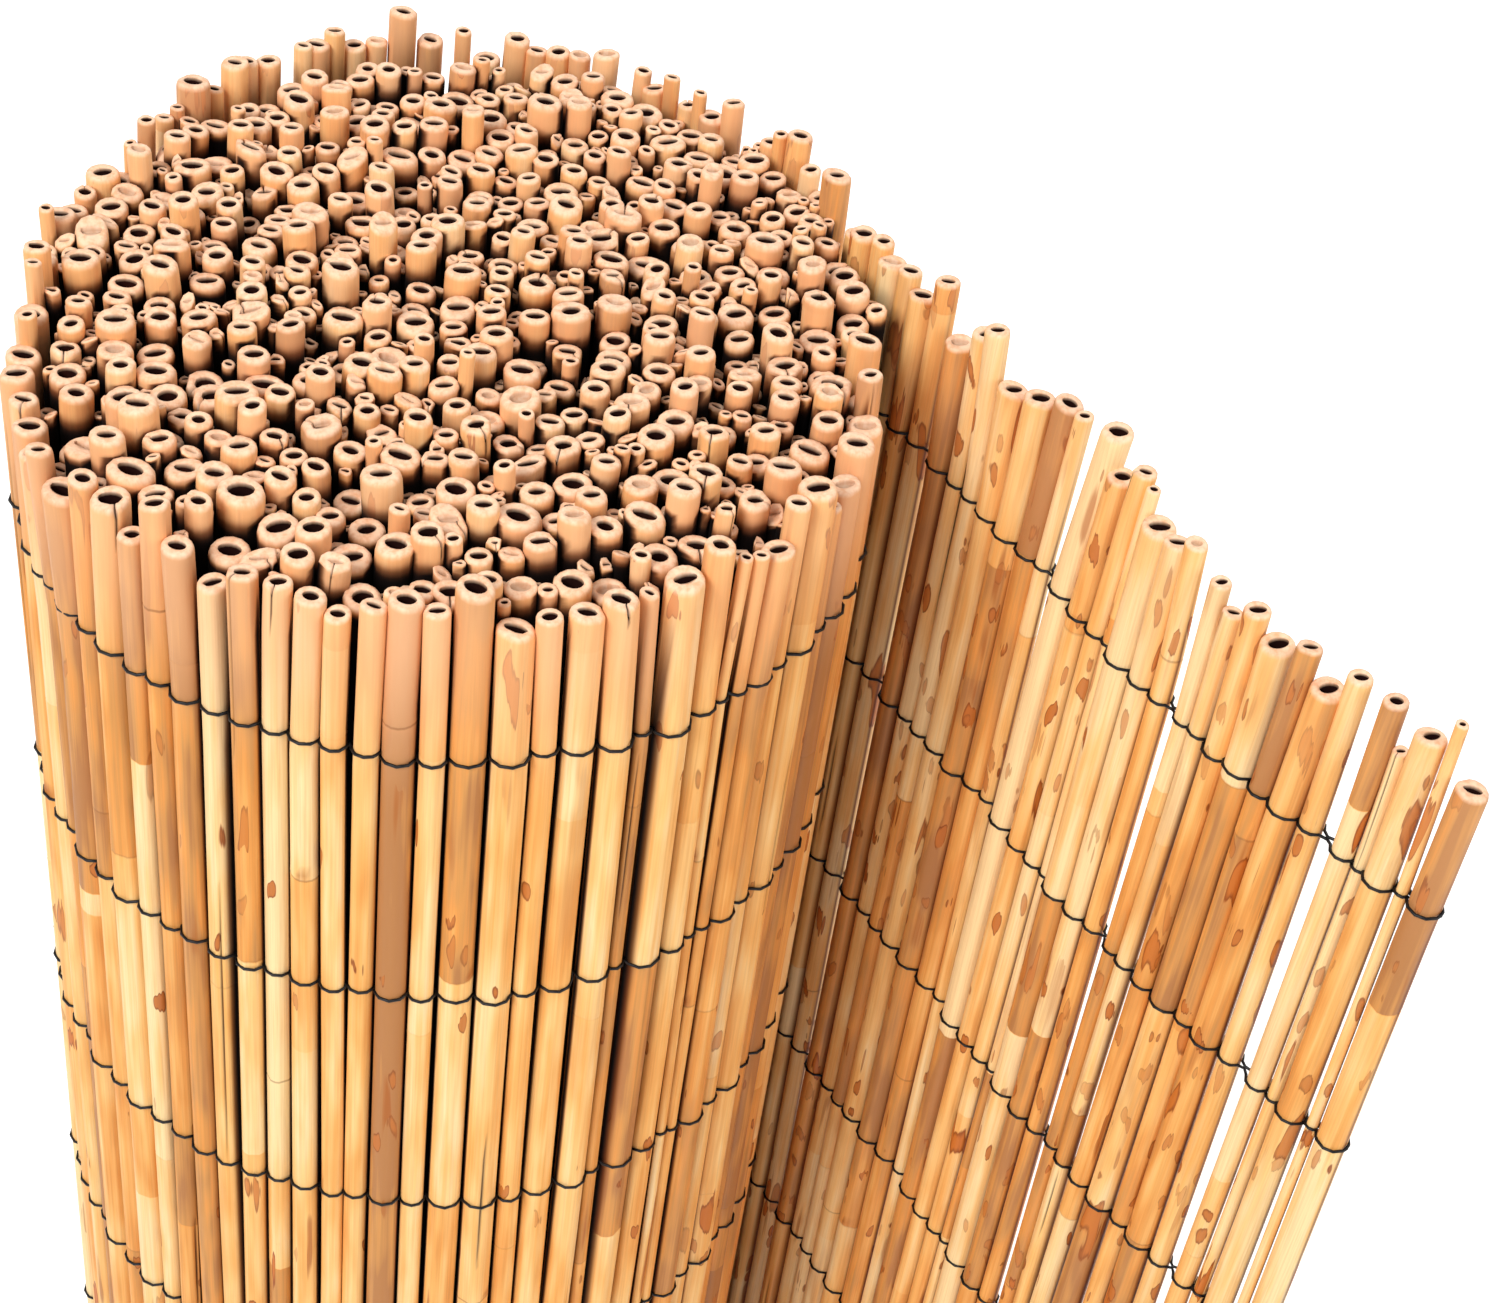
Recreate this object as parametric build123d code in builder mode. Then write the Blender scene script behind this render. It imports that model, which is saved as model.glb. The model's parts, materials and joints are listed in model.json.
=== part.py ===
from build123d import *
import math
import os
import random

# Peeled reed screen: a mat of upright reeds bound by wires, rolled up and stood on end,
# with its outermost turn sprung loose at the back and its free end led away as a flap.
# Millimetres, +Z up, origin in the middle of the roll's foot.

# The reeds
reed_length = 1000.0
thin_reed = (4.2, 5.6)
usual_reed = (6.8, 8.8)
thick_reed = (9.0, 11.0)
thin_share = 0.12
thick_share = 0.3
reed_gap = 0.39
reed_seed = 5

# The rolled wall. From the outermost turn on it has a ridge for each reed, as thick as the reed
# and thin where two reeds meet. Further in, one flatter ridge stands for a few reeds.
turn_pitch = 11.5
half_turns = 20
flat_length = 36.0
greatest_crest = 10.0
crest_share = 0.4
valley_thickness = 2.6
core_crest = 9.2
core_valley = 5.2
core_reeds_per_ridge = 3

# The roll is slack towards its front, where the outermost turn stands out by this much and each
# turn further in by less. The slack is gone a part of a turn after the mat springs loose.
slack = 10.0
slack_turns = 7.0
slack_release = 0.125
slack_full_facing = -0.5
slack_end_facing = 0.6

# The loose turn and the flap, as (length, clockwise bend in degrees)
loose_bends = (
    (92.0, 42.0),
    (52.0, 1.0),
    (44.0, 54.0),
    (169.0, 59.8),
    (105.0, -8.2),
    (37.0, 8.7),
    (149.0, -22.0),
)

# The binding wires
wire_diameter = 1.0
wire_count = 10
wire_from_end = 52.0
wire_clearance = 0.3
wire_sag = 1.0
longest_wire_span = 45.0
inner_strand_length = 230.0

# The see-through gaps between some reeds of the loose turn and flap
gap_width = 2.0
gap_columns = 10
gap_to_wire = 14.0

wire_pitch = (reed_length - 2 * wire_from_end) / (wire_count - 1)


def mat_sections():
    # Each section is its start distance, start point, heading, length and clockwise bend
    sections = []
    start = 0.0
    x, y = 0.0, -flat_length / 2
    heading = math.pi / 2
    lengths = []
    for half_turn in range(half_turns):
        lengths.append((flat_length, 0.0))
        lengths.append((math.pi * turn_pitch * (half_turn + 1) / 2, 180.0))
    lengths.append((flat_length, 0.0))
    lengths.extend(loose_bends)
    for length, bend in lengths:
        sections.append((start, x, y, heading, length, math.radians(bend)))
        x, y, heading = point_in_section(sections[-1], length)
        start += length
    return sections


def point_in_section(section, distance):
    start, x, y, heading, length, bend = section
    turned = bend * distance / length
    chord = distance
    if turned != 0:
        chord = 2 * length / bend * math.sin(turned / 2)
    direction = heading - turned / 2
    return x + chord * math.cos(direction), y + chord * math.sin(direction), heading - turned


sections = mat_sections()
mat_length = sections[-1][0] + sections[-1][4]
loose_start = mat_length - sum(length for length, bend in loose_bends)
outer_turn_start = loose_start - 2 * flat_length - math.pi * turn_pitch * half_turns / 2


def middle_line(distance):
    # The place and heading of the mat's middle line, this far from the mat's inner end
    section = [entry for entry in sections if entry[0] <= max(distance, 0.0)][-1]
    return point_in_section(section, distance - section[0])


loose_heading = middle_line(loose_start)[2]


def slack_at(distance):
    # The facing is that of the mat's outer side, from -1 for the front to 1 for the back
    heading = middle_line(distance)[2]
    turns_in = (heading - loose_heading) / math.tau
    lost = min(max(turns_in / slack_turns, -turns_in / slack_release), 1.0)
    turned_back = (math.cos(heading) - slack_full_facing) / (slack_end_facing - slack_full_facing)
    turned_back = min(max(turned_back, 0.0), 1.0)
    return slack * (1 - lost) * math.cos(math.pi / 2 * turned_back) ** 2


def mat_point(distance, offset):
    # A point beside the middle line, with the outer side of the roll counted positive
    x, y, heading = middle_line(distance)
    offset += slack_at(distance)
    return x - offset * math.sin(heading), y + offset * math.cos(heading)


def reed_edges():
    # The distance along the mat of each place where two neighbouring reeds meet
    dice = random.Random(reed_seed)
    edges = [0.0]
    while edges[-1] < mat_length:
        pick = dice.random()
        size = usual_reed
        if pick < thin_share:
            size = thin_reed
        elif pick > 1 - thick_share:
            size = thick_reed
        edges.append(edges[-1] + dice.uniform(*size) + reed_gap)
    return edges[:-1]


edges = reed_edges()
core_edges = [edge for edge in edges if edge < outer_turn_start][::core_reeds_per_ridge]
visible_edges = [edge for edge in edges if edge >= outer_turn_start]

# One side of the wall, as (distance, half thickness) from valley to crest to valley
profile = []
for low, high in zip(core_edges, core_edges[1:] + visible_edges[:1]):
    profile.append((low, core_valley / 2))
    profile.append(((low + high) / 2, core_crest / 2))
for low, high in zip(visible_edges, visible_edges[1:]):
    crest = min(high - low - reed_gap, greatest_crest)
    shoulder = (high - low) * (1 - crest_share) / 2
    profile.append((low, valley_thickness / 2))
    profile.append((low + shoulder, crest / 2))
    profile.append((high - shoulder, crest / 2))
profile.append((visible_edges[-1], valley_thickness / 2))

outer_side = [mat_point(distance, half) for distance, half in profile]
inner_side = [mat_point(distance, -half) for distance, half in reversed(profile)]

# Every few reeds of the loose stretch, one meeting of two reeds stands open
loose_edges = [edge for edge in visible_edges if edge > loose_start + flat_length]
column_step = len(loose_edges) // gap_columns
gap_edges = loose_edges[column_step // 2 :: column_step][:gap_columns]
gap_length = wire_pitch - 2 * gap_to_wire

gap_places = []
for edge in gap_edges:
    x, y = mat_point(edge, 0)
    beside_x, beside_y = mat_point(edge, 1)
    across = math.degrees(math.atan2(beside_y - y, beside_x - x))
    for row in range(wire_count - 1):
        z = wire_from_end + wire_pitch * (row + 0.5)
        gap_places.append(Location((x, y, z), (0, 0, across)))

with BuildPart() as reed_mat:
    with BuildSketch():
        with BuildLine():
            Polyline(*outer_side, *inner_side, close=True)
        make_face()
    extrude(amount=reed_length)
    with Locations(*gap_places):
        Box(greatest_crest, gap_width, gap_length, mode=Mode.SUBTRACT)

# A wire runs along the outer face, round the free edge and back along the inner face.
# Its corners stand off by the sag of the bend between them, so that it clears the reeds.
wire_bottom = greatest_crest / 2 + wire_clearance + wire_sag
wire_top = wire_bottom + wire_diameter
end_distance = visible_edges[-1]


def span_bulge(first, last):
    # How far the mat half way along a span of wire stands from the straight between its ends
    x1, y1 = mat_point(first, 0)
    x2, y2 = mat_point(last, 0)
    x, y = mat_point((first + last) / 2, 0)
    return abs((x - x1) * (y2 - y1) - (y - y1) * (x2 - x1)) / math.hypot(x2 - x1, y2 - y1)


def wire_stops():
    # Each span of wire is as long as the bend of the mat lets it be
    places = [edge for edge in visible_edges if edge >= outer_turn_start + flat_length]
    stops = [places[0]]
    for previous, edge in zip(places, places[1:]):
        span = edge - stops[-1]
        if span > longest_wire_span or span_bulge(stops[-1], edge) > wire_sag:
            stops.append(previous)
    return stops


outer_stops = wire_stops()
inner_stops = [edge for edge in outer_stops if edge > end_distance - inner_strand_length]


def beyond_edge(reach):
    # The two corners of a strand where it turns round the mat's free edge
    x, y = mat_point(end_distance, 0)
    beside_x, beside_y = mat_point(end_distance, 1)
    across = (beside_x - x, beside_y - y)
    along = (across[1], -across[0])
    clear = reach - greatest_crest / 2 + valley_thickness / 2
    corners = []
    for side in (reach, -reach):
        corners.append((
            x + across[0] * side + along[0] * clear,
            y + across[1] * side + along[1] * clear,
        ))
    return corners


def strand_line(reach):
    out = [mat_point(stop, reach) for stop in outer_stops]
    back = [mat_point(stop, -reach) for stop in reversed(inner_stops)]
    return out + beyond_edge(reach) + back


strand_outline = strand_line(wire_top) + strand_line(wire_bottom)[::-1]

wires = []
for course in range(wire_count):
    wire_height = wire_from_end + wire_pitch * course
    with BuildPart() as wire:
        with BuildSketch(Plane.XY.offset(wire_height - wire_diameter / 2)):
            with BuildLine():
                Polyline(*strand_outline, close=True)
            make_face()
        extrude(amount=wire_diameter)
    wire.part.label = f"binding_wire_{course + 1:02d}"
    wires.append(wire.part)

reed_mat.part.label = "reed_mat"

os.makedirs("parts", exist_ok=True)
for piece in [reed_mat.part] + wires:
    export_step(piece, f"parts/{piece.label}.step")

print(f"mat {mat_length:.0f} mm long, {len(edges) - 1} reeds")
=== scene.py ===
import json
import math
import random

import bpy
import numpy as np
from mathutils import Matrix, Vector, noise


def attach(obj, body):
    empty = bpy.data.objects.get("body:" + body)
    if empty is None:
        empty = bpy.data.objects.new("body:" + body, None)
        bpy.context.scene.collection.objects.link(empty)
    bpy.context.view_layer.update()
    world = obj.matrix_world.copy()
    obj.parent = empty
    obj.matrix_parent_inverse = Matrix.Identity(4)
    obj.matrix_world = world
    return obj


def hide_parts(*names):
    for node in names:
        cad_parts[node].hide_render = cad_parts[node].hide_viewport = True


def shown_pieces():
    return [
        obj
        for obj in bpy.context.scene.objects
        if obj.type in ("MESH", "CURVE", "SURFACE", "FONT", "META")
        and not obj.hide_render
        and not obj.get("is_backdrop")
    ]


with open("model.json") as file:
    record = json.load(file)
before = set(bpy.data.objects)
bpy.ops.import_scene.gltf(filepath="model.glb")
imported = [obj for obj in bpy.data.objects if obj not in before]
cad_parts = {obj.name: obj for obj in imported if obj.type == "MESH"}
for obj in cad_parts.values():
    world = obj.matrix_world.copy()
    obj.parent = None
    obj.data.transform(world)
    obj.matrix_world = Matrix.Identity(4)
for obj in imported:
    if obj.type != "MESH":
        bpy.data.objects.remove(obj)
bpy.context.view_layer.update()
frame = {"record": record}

# A rolled screen of peeled reeds, standing on end. The reeds of the outermost turn and the
# flap are made whole, those of the inner turns in full detail at their ends only.
# Metres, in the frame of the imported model.

# The mat's route and its reeds, with the same values as the reed mat's solid
mat = {
    "reedLength": 1.0,
    "thinReed": (0.0042, 0.0056),
    "usualReed": (0.0068, 0.0088),
    "thickReed": (0.0090, 0.0110),
    "thinShare": 0.12,
    "thickShare": 0.3,
    "reedGap": 0.00039,
    "reedSeed": 5,
    "turnPitch": 0.0115,
    "halfTurns": 20,
    "flatLength": 0.036,
    "slack": 0.010,
    "slackTurns": 7.0,
    "slackRelease": 0.125,
    "slackFullFacing": -0.5,
    "slackEndFacing": 0.6,
    "looseBends": (
        (0.092, 42.0), (0.052, 1.0), (0.044, 54.0), (0.169, 59.8),
        (0.105, -8.2), (0.037, 8.7), (0.149, -22.0),
    ),
    "gapWidth": 0.0017,
    "gapColumns": 10,
}


def pointInSection(section, distance):
    start, x, y, heading, length, bend = section
    turned = bend * distance / length
    chord = distance
    if turned != 0:
        chord = 2 * length / bend * math.sin(turned / 2)
    direction = heading - turned / 2
    return x + chord * math.cos(direction), y + chord * math.sin(direction), heading - turned


def matSections():
    lengths = []
    for halfTurn in range(mat["halfTurns"]):
        lengths.append((mat["flatLength"], 0.0))
        lengths.append((math.pi * mat["turnPitch"] * (halfTurn + 1) / 2, 180.0))
    lengths.append((mat["flatLength"], 0.0))
    lengths.extend(mat["looseBends"])
    found = []
    start, x, y, heading = 0.0, 0.0, -mat["flatLength"] / 2, math.pi / 2
    for length, bend in lengths:
        found.append((start, x, y, heading, length, math.radians(bend)))
        x, y, heading = pointInSection(found[-1], length)
        start += length
    return found


sections = matSections()
matLength = sections[-1][0] + sections[-1][4]
looseStart = matLength - sum(length for length, bend in mat["looseBends"])
outerTurnStart = (
    looseStart - 2 * mat["flatLength"] - math.pi * mat["turnPitch"] * mat["halfTurns"] / 2
)


def middleLine(distance):
    section = [entry for entry in sections if entry[0] <= max(distance, 0.0)][-1]
    return pointInSection(section, distance - section[0])


looseHeading = middleLine(looseStart)[2]


def slackAt(heading):
    # The turns stand apart towards the front, the outermost the most
    turnsIn = (heading - looseHeading) / math.tau
    lost = min(max(turnsIn / mat["slackTurns"], -turnsIn / mat["slackRelease"]), 1.0)
    room = mat["slackEndFacing"] - mat["slackFullFacing"]
    turnedBack = min(max((math.cos(heading) - mat["slackFullFacing"]) / room, 0.0), 1.0)
    return mat["slack"] * (1 - lost) * math.cos(math.pi / 2 * turnedBack) ** 2


def matPoint(distance, offset):
    # A point beside the mat's middle line, and the angle of the outward direction there
    x, y, heading = middleLine(distance)
    offset += slackAt(heading)
    return x - offset * math.sin(heading), y + offset * math.cos(heading), heading + math.pi / 2


def reedEdges():
    dice = random.Random(mat["reedSeed"])
    edges = [0.0]
    while edges[-1] < matLength:
        pick = dice.random()
        size = mat["usualReed"]
        if pick < mat["thinShare"]:
            size = mat["thinReed"]
        elif pick > 1 - mat["thickShare"]:
            size = mat["thickReed"]
        edges.append(edges[-1] + dice.uniform(*size) + mat["reedGap"])
    return edges[:-1]


# What each reed is like
reedLook = {
    "seed": 21,
    "outerShift": 0.0006,      # how far a reed stands in or out of the mat's middle line
    "innerShift": 0.9,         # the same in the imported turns, as a share of the free room
    "innerSwell": (0.98, 1.12),
    "slimBy": 0.0003,          # reeds of the outermost turn stand apart by up to this much
    "apartShare": 0.14,        # some more than that
    "apartBy": (0.0002, 0.0006),
    "flapStart": 0.30,         # how far along the loose stretch the flap's look sets in
    "flapBlend": 0.06,
    "topDrop": 0.003,          # how far the ends stay below the mat's height on average
    "topRange": (0.0034, 0.0050),   # spread of the ends' heights, packed and outermost
    "topLimit": 0.011,
    "flapRise": 0.003,         # how much higher the flap's ends reach
    "shortShare": 0.07,        # reeds that end lower than the rest
    "shortBy": (0.004, 0.009),
    "footRange": 0.005,
    "topLean": 0.0018,         # how far the ends lean with their neighbours
    "topLeanOwn": 0.0009,      # and by themselves
    "leanSpot": 0.045,         # how wide a group is that leans together
    "leanLayers": (3.7, 9.1),  # the layers of noise for the lean along X and along Y
    "leanLimit": 1.3,
    "leanCurve": 1.6,
    "bow": 0.0006,
    "bowRate": (0.37, 0.31),   # half waves between two wires
    "bowPhase": 6.0,
    "oval": (0.0, 0.05),
    "joint": (0.20, 0.40),     # distance between two nodes of a stem
    "firstJoint": 0.02,
    "lastJoint": 0.03,         # no node is closer to the top than this
    "jointMark": (0.05, 0.75), # how dark a node's line is
    "budShare": 0.55,          # nodes with a brown spot where a leaf stood
    "holeLength": (0.50, 0.70),
    "holeWidth": (0.22, 0.42),
    "holeTurn": 26.0,
    "cutTilt": 0.13,
    "pluggedShare": 0.07,
    "crackedShare": 0.12,
    "crackDepth": (0.004, 0.016),
    "crushedShare": 0.10,
    "splitShare": 0.45,
    "splitTurn": 75.0,         # degrees from the side that is seen
    "splitFrom": 0.1,
    "splitHalf": (0.015, 0.08),
}

# A stem's tone, from 0 for the palest to 1 for the brownest
stemTone = {
    "level": (0.36, 0.15),     # the usual tone and its spread
    "flapPaler": 0.12,
    "change": 0.13,
    "atNode": 0.8,             # chance that the tone changes at a node
    "atWire": 0.34,            # at a wire
    "elsewhere": 0.7,          # and at each of two other places
    "brownShare": 0.09,
    "brown": (0.7, 0.95),
    "brownPart": 0.10,         # chance that the new tone is a brown one, twice that on the flap
    "brownPartTone": (0.65, 0.95),
}

# What being crushed does to a stem's end
crushed = {
    "pluggedShare": 0.6,
    "oval": (0.10, 0.24),
    "holeShare": 0.5,
    "tiltShare": 2.2,
}

# Where the reeds of the loose turn and the flap spread apart towards their upper ends
spread = {
    "seed": 12,
    "opening": (0.0025, 0.0068),
    "lowest": (0.35, 0.85),
    "carried": (1.0, 0.62, 0.3, 0.1),   # how much of the shift the next reeds take
    "footFan": 0.014,          # how far the free end's foot stands out
    "fanReach": 0.13,
    "beyond": 1.1,             # how far the shift may grow past its full size at the top
}

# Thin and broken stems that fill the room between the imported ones
scraps = {
    "seed": 17,
    "radius": (0.0017, 0.0038),
    "away": (0.0012, 0.0045),  # how far from a whole stem's side they are tried
    "clear": -0.0004,
    "tries": 3000,
    "below": (0.001, 0.010),   # how far they end below their neighbours
    "reach": 0.014,            # how far the neighbours of a stem's end are looked for
    "oval": (0.0, 0.12),
    "tone": (0.45, 0.2),
    "holeShare": 0.8,
    "tiltShare": 2.0,
    "crushedShare": 0.5,
    "crackedShare": 0.25,
}

# The binding wires, a twisted pair for each course
wires = {
    "count": 10,
    "fromEnd": 0.052,
    "radius": 0.0005,
    "sides": 5,
    "seed": 8,
    "waver": 0.0011,           # how far a course wanders up and down
    "waverLength": 0.03,
    "waverLayer": 7.3,
    "waverOwn": 0.0005,
    "jitter": 0.00008,
    "standOff": 0.8,           # of its middle from a reed's side, in radii of the wire
    "arc": (-72.0, -36.0, 0.0, 36.0, 72.0),   # degrees round each reed
    "endArc": (92.0,),
    "twist": 0.00045,
}
wirePitch = (mat["reedLength"] - 2 * wires["fromEnd"]) / (wires["count"] - 1)
wireHeights = [wires["fromEnd"] + wirePitch * course for course in range(wires["count"])]


class Reed:
    # A stem, with what holds for most of them
    scrap = False
    plugged = False
    split = None
    flap = 0.0
    fan = 0.0
    spreads = ()
    nodes = ()


def smoothNoise(x, y, z):
    return noise.noise(Vector((x, y, z)))


def openMeetings(edges):
    # Every few reeds of the loose stretch, two neighbours stand apart
    looseEdges = [edge for edge in edges if edge > looseStart + mat["flatLength"]]
    step = len(looseEdges) // mat["gapColumns"]
    return set(looseEdges[step // 2::step][:mat["gapColumns"]])


def planReeds():
    edges = reedEdges()
    openEdges = openMeetings(edges)
    dice = random.Random(reedLook["seed"])
    reeds = []
    for low, high in zip(edges, edges[1:]):
        reed = Reed()
        reed.low, reed.high = low, high
        reed.outer = low >= outerTurnStart
        onFlap = (low - looseStart - reedLook["flapStart"]) / reedLook["flapBlend"]
        reed.flap = max(0.0, min(1.0, onFlap))
        reed.fan = max(0.0, 1 - (matLength - high) / spread["fanReach"])
        reed.spreads = []
        placeReed(reed, openEdges, dice)
        planHeights(reed, dice)
        planBend(reed, dice)
        planNodes(reed, dice)
        reed.tones = pickTones(reed, dice)
        planEnd(reed, dice, 1.0, 1.0)
        reed.plugged = dice.random() < reedLook["pluggedShare"]
        if not reed.outer and dice.random() < reedLook["crushedShare"]:
            crushStem(reed, dice)
        planSplit(reed, dice)
        reeds.append(reed)
    spreadReeds(reeds, openEdges)
    return reeds


def placeReed(reed, openEdges, dice):
    # The stem's radius and place, with the room that an open meeting takes
    narrowed = shifted = 0.0
    for edge, side in ((reed.low, 1), (reed.high, -1)):
        if edge in openEdges:
            narrowed += mat["gapWidth"] / 4
            shifted += side * mat["gapWidth"] / 4
    lowPlace, highPlace = matPoint(reed.low, 0.0), matPoint(reed.high, 0.0)
    room = math.hypot(highPlace[0] - lowPlace[0], highPlace[1] - lowPlace[1])
    reed.radius = (room - mat["reedGap"]) / 2 - narrowed
    if reed.outer:
        reed.radius -= reedLook["slimBy"] * dice.random() ** 2
        if dice.random() < reedLook["apartShare"]:
            reed.radius -= dice.uniform(*reedLook["apartBy"]) / 2
    else:
        reed.radius *= dice.uniform(*reedLook["innerSwell"])
    shift = reedLook["outerShift"] * dice.uniform(-1, 1)
    if not reed.outer:
        shift = dice.uniform(-1, 1) * reedLook["innerShift"]
        shift *= mat["turnPitch"] / 2 - reed.radius
    middle = (reed.low + reed.high) / 2 + shifted
    reed.x, reed.y, reed.outward = matPoint(middle, shift)


def planHeights(reed, dice):
    top = dice.gauss(0, reedLook["topRange"][int(reed.outer)])
    top = max(-reedLook["topLimit"], min(reedLook["topLimit"], top))
    if dice.random() < reedLook["shortShare"] and not reed.outer:
        top -= dice.uniform(*reedLook["shortBy"])
    rise = reedLook["flapRise"] * reed.flap
    reed.top = mat["reedLength"] - reedLook["topDrop"] + top + rise
    reed.foot = dice.uniform(0, reedLook["footRange"])


def planBend(reed, dice):
    spot = reedLook["leanSpot"]
    reed.lean = []
    for layer in reedLook["leanLayers"]:
        shared = 2 * smoothNoise(reed.x / spot, reed.y / spot, layer) * reedLook["topLean"]
        reed.lean.append(shared + dice.uniform(-1, 1) * reedLook["topLeanOwn"])
    reed.bow = [dice.uniform(-1, 1) * reedLook["bow"] for part in range(4)]
    reed.oval = dice.uniform(*reedLook["oval"])
    reed.ovalTurn = dice.uniform(0, math.pi)
    reed.seed = dice.random()


def planNodes(reed, dice):
    # Each node's height, how dark its line is, and where round the stem its leaf stood
    reed.nodes = []
    height = reed.foot + dice.uniform(reedLook["firstJoint"], reedLook["joint"][1])
    while height < reed.top - reedLook["lastJoint"]:
        bud = dice.random() if dice.random() < reedLook["budShare"] else None
        reed.nodes.append((height, dice.uniform(*reedLook["jointMark"]) ** 2, bud))
        height += dice.uniform(*reedLook["joint"])


def planEnd(reed, dice, holeShare, tiltShare):
    # The outline of the hole and the slant of the cut
    reed.holeLength = dice.uniform(*reedLook["holeLength"])
    reed.holeWidth = dice.uniform(*reedLook["holeWidth"]) * holeShare
    reed.holeTurn = math.radians(dice.uniform(-1, 1) * reedLook["holeTurn"])
    most = reedLook["cutTilt"] * tiltShare
    reed.tilt = [dice.uniform(-1, 1) * most for axis in range(2)]


def planSplit(reed, dice):
    # A crack at the upper end and a split further down
    reed.cracked = dice.random() < reedLook["crackedShare"]
    reed.crackDepth = dice.uniform(*reedLook["crackDepth"])
    most = reedLook["splitTurn"]
    reed.splitTurn = math.radians(dice.uniform(-most, most) + 180 * reed.flap)
    if reed.outer and dice.random() < reedLook["splitShare"]:
        middle = dice.uniform(reedLook["splitFrom"], reed.top)
        half = dice.uniform(*reedLook["splitHalf"])
        reed.split = (middle - half, middle + half)


def crushStem(reed, dice):
    reed.plugged = dice.random() < crushed["pluggedShare"]
    reed.oval = dice.uniform(*crushed["oval"])
    reed.holeWidth *= crushed["holeShare"]
    reed.tilt = [value * crushed["tiltShare"] for value in reed.tilt]


def spreadReeds(reeds, openEdges):
    # The reeds on both sides of an open meeting give way, the nearest the most
    dice = random.Random(spread["seed"])
    for place, reed in enumerate(reeds):
        if reed.high in openEdges:
            opening = dice.uniform(*spread["opening"])
            lowest = dice.uniform(*spread["lowest"])
            for step, share in enumerate(spread["carried"]):
                for other, side in ((place - step, -1), (place + 1 + step, 1)):
                    if other < len(reeds):
                        reeds[other].spreads.append((side * share * opening / 2, lowest))


def inOpening(x, y):
    return any(low[0] < x < high[0] and low[1] < y < high[1] for low, high in openRoom)


def planScraps(reeds):
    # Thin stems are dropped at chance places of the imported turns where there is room
    dice = random.Random(scraps["seed"])
    taken = [(reed.x, reed.y, reed.radius) for reed in reeds]
    packed = [reed for reed in reeds if not reed.outer]
    found = []
    for attempt in range(scraps["tries"]):
        near = dice.choice(packed)
        angle = dice.uniform(0, math.tau)
        reach = near.radius + dice.uniform(*scraps["away"])
        x = near.x + reach * math.cos(angle)
        y = near.y + reach * math.sin(angle)
        places = np.array(taken)
        gaps = np.hypot(places[:, 0] - x, places[:, 1] - y) - places[:, 2]
        room = float(gaps.min()) - scraps["clear"]
        if room < scraps["radius"][0] or inOpening(x, y):
            continue
        reed = Reed()
        reed.low = reed.high = near.high
        reed.outer = False
        reed.scrap = True
        reed.radius = min(room, scraps["radius"][1])
        reed.x, reed.y, reed.outward = x, y, angle
        reed.lean, reed.bow, reed.top = near.lean, near.bow, near.top
        reed.foot = dice.uniform(0, reedLook["footRange"])
        reed.oval = dice.uniform(*scraps["oval"])
        reed.ovalTurn = dice.uniform(0, math.pi)
        reed.seed = dice.random()
        reed.tones = [(-1.0, dice.gauss(*scraps["tone"]))]
        planEnd(reed, dice, scraps["holeShare"], scraps["tiltShare"])
        if dice.random() < scraps["crushedShare"]:
            crushStem(reed, dice)
        reed.cracked = dice.random() < scraps["crackedShare"]
        reed.crackDepth = dice.uniform(*reedLook["crackDepth"])
        reed.splitTurn = dice.uniform(0, math.tau)
        found.append(reed)
        taken.append((x, y, reed.radius))
    return found


def measureTops(reeds):
    # How high the ends around each stem's end are, and which stems stand close to it
    dice = random.Random(scraps["seed"] + 1)
    x = np.array([reed.x for reed in reeds])
    y = np.array([reed.y for reed in reeds])
    whole = np.array([not reed.scrap for reed in reeds])
    tops = np.array([reed.top for reed in reeds])
    for reed in reeds:
        near = (np.hypot(x - reed.x, y - reed.y) < scraps["reach"]) & whole
        reed.topsAround = float(tops[near].mean())
        if reed.scrap:
            reed.top = reed.topsAround - dice.uniform(*scraps["below"])
    for reed in reeds:
        close = np.nonzero(np.hypot(x - reed.x, y - reed.y) < scraps["reach"])[0]
        reed.neighbours = [reeds[place] for place in close if reeds[place] is not reed]


def pickTones(reed, dice):
    # The stem's tone is a list of (height from which it holds, tone), and it changes at
    # most nodes, at some wires and at places between them
    places = [(node, stemTone["atNode"]) for node, mark, bud in reed.nodes]
    places += [(height, stemTone["atWire"]) for height in wireHeights]
    places += [(dice.uniform(0.0, reed.top), stemTone["elsewhere"]) for patch in range(2)]
    level = dice.gauss(*stemTone["level"])
    if dice.random() < stemTone["brownShare"]:
        level = dice.uniform(*stemTone["brown"])
    level -= stemTone["flapPaler"] * reed.flap
    tones = [(-1.0, level)]
    for height, chance in sorted(places):
        if dice.random() < chance:
            tone = level + dice.gauss(0, stemTone["change"])
            if dice.random() < stemTone["brownPart"] * (1 + reed.flap):
                tone = dice.uniform(*stemTone["brownPartTone"])
            tones.append((height, tone))
    return tones


# The record's openings stay free: lowest and highest corners on the floor
openRoom = [(box["box_m"][0], box["box_m"][1]) for box in frame["record"]["physics"]["openings"]]

reeds = planReeds()
scrapStems = planScraps(reeds)
measureTops(reeds + scrapStems)
outerReeds = [reed for reed in reeds if reed.outer]
innerReeds = [reed for reed in reeds + scrapStems if not reed.outer]
innerReeds.sort(key=lambda reed: reed.low)
print(f"planned {len(reeds)} reeds, {len(outerReeds)} of them in the outermost turn and the flap")
print(f"and {len(scrapStems)} thin stems between them")

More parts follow.
